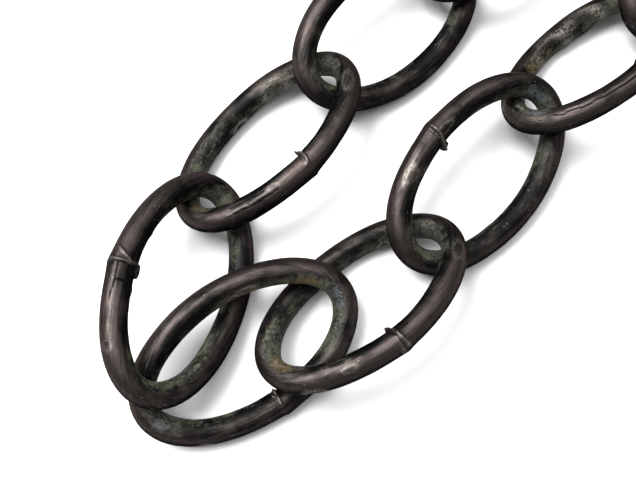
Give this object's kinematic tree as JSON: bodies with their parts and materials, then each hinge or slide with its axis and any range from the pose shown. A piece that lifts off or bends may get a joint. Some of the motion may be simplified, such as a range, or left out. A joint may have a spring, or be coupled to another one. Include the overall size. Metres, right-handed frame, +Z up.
{
  "type": "oval link chain",
  "caption": "Loose length of round-bar oval-link chain in dark patinated bronze, laid flat in a hairpin with flared ends; every link swings about its neighbour's bow.",
  "frame": {"origin": "middle of the chain's box in plan, on the surface that it lies on", "axes": "+Z up; +Y from the bend along the two strands; +X to the right of it, so that link_01 ends the left strand and link_20 the right one"},
  "size_m": [0.3378, 0.5418, 0.0323],
  "materials": {
    "patinated_bronze": "dark brown-black patina, satin where rubbed, with green-grey and ochre verdigris on the inner sides and in the end bows, fine lengthwise scratches"
  },
  "bodies": {
    "link_01": {"link_01": "patinated_bronze"},
    "link_02": {"link_02": "patinated_bronze"},
    "link_03": {"link_03": "patinated_bronze"},
    "link_04": {"link_04": "patinated_bronze"},
    "link_05": {"link_05": "patinated_bronze"},
    "link_06": {"link_06": "patinated_bronze"},
    "link_07": {"link_07": "patinated_bronze"},
    "link_08": {"link_08": "patinated_bronze"},
    "link_09": {"link_09": "patinated_bronze"},
    "link_10": {"link_10": "patinated_bronze"},
    "link_11": {"link_11": "patinated_bronze"},
    "link_12": {"link_12": "patinated_bronze"},
    "link_13": {"link_13": "patinated_bronze"},
    "link_14": {"link_14": "patinated_bronze"},
    "link_15": {"link_15": "patinated_bronze"},
    "link_16": {"link_16": "patinated_bronze"},
    "link_17": {"link_17": "patinated_bronze"},
    "link_18": {"link_18": "patinated_bronze"},
    "link_19": {"link_19": "patinated_bronze"},
    "link_20": {"link_20": "patinated_bronze"}
  },
  "joints": [
    {"name": "link_10_swing", "type": "hinge", "parent": "link_11", "child": "link_10", "pos_m": [0.01952, -0.26692, 0.01063], "axis": [-0.4458, -0.3992, -0.8011], "range_deg": [-6, 4]},
    {"name": "link_09_swing", "type": "hinge", "parent": "link_10", "child": "link_09", "pos_m": [-0.01775, -0.20531, 0.01174], "axis": [-0.4353, -0.0699, 0.8976], "range_deg": [-5, 12]},
    {"name": "link_08_swing", "type": "hinge", "parent": "link_09", "child": "link_08", "pos_m": [-0.01919, -0.14776, 0.01473], "axis": [-0.4716, -0.0133, -0.8817], "range_deg": [-70, 10]},
    {"name": "link_07_swing", "type": "hinge", "parent": "link_08", "child": "link_07", "pos_m": [-0.01655, -0.0908, 0.01175], "axis": [-0.4692, -0.0164, 0.8829], "range_deg": [-13, 70]},
    {"name": "link_06_swing", "type": "hinge", "parent": "link_07", "child": "link_06", "pos_m": [-0.01912, -0.03469, 0.01336], "axis": [-0.4649, -0.0653, -0.8829], "range_deg": [-70, 27]},
    {"name": "link_05_swing", "type": "hinge", "parent": "link_06", "child": "link_05", "pos_m": [-0.02755, 0.02078, 0.01336], "axis": [-0.4513, -0.1294, 0.8829], "range_deg": [-70, 70]},
    {"name": "link_04_swing", "type": "hinge", "parent": "link_05", "child": "link_04", "pos_m": [-0.04383, 0.07457, 0.01336], "axis": [-0.4289, -0.191, -0.8829], "range_deg": [-70, 70]},
    {"name": "link_03_swing", "type": "hinge", "parent": "link_04", "child": "link_03", "pos_m": [-0.06744, 0.12557, 0.01336], "axis": [-0.4066, -0.2347, 0.8829], "range_deg": [-70, 70]},
    {"name": "link_02_swing", "type": "hinge", "parent": "link_03", "child": "link_02", "pos_m": [-0.09604, 0.17385, 0.01336], "axis": [-0.3892, -0.2625, -0.8829], "range_deg": [-70, 70]},
    {"name": "link_01_swing", "type": "hinge", "parent": "link_02", "child": "link_01", "pos_m": [-0.12772, 0.22009, 0.01336], "axis": [-0.3798, -0.2759, 0.8829], "range_deg": [-70, 70]},
    {"name": "link_12_swing", "type": "hinge", "parent": "link_11", "child": "link_12", "pos_m": [0.03366, -0.20041, 0.01063], "axis": [0.4637, -0.087, -0.8817], "range_deg": [-5, 8]},
    {"name": "link_13_swing", "type": "hinge", "parent": "link_12", "child": "link_13", "pos_m": [0.04355, -0.16434, 0.01175], "axis": [0.4265, -0.0261, 0.9041], "range_deg": [-20, 6]},
    {"name": "link_14_swing", "type": "hinge", "parent": "link_13", "child": "link_14", "pos_m": [0.03513, -0.10888, 0.01567], "axis": [0.5727, -0.0343, -0.819], "range_deg": [-10, 70]},
    {"name": "link_15_swing", "type": "hinge", "parent": "link_14", "child": "link_15", "pos_m": [0.03927, -0.05169, 0.01476], "axis": [0.4683, -0.0327, 0.8829], "range_deg": [-70, 20]},
    {"name": "link_16_swing", "type": "hinge", "parent": "link_15", "child": "link_16", "pos_m": [0.04339, 0.00417, 0.01336], "axis": [0.4623, -0.0815, -0.8829], "range_deg": [-70, 70]},
    {"name": "link_17_swing", "type": "hinge", "parent": "link_16", "child": "link_17", "pos_m": [0.05375, 0.05932, 0.01336], "axis": [0.4465, -0.1451, 0.8829], "range_deg": [-70, 70]},
    {"name": "link_18_swing", "type": "hinge", "parent": "link_17", "child": "link_18", "pos_m": [0.0719, 0.11251, 0.01336], "axis": [0.422, -0.2058, -0.8829], "range_deg": [-70, 70]},
    {"name": "link_19_swing", "type": "hinge", "parent": "link_18", "child": "link_19", "pos_m": [0.09727, 0.16266, 0.01336], "axis": [0.3981, -0.2488, 0.8829], "range_deg": [-70, 70]},
    {"name": "link_20_swing", "type": "hinge", "parent": "link_19", "child": "link_20", "pos_m": [0.12753, 0.20991, 0.01336], "axis": [0.3798, -0.2759, -0.8829], "range_deg": [-70, 70]}
  ]
}
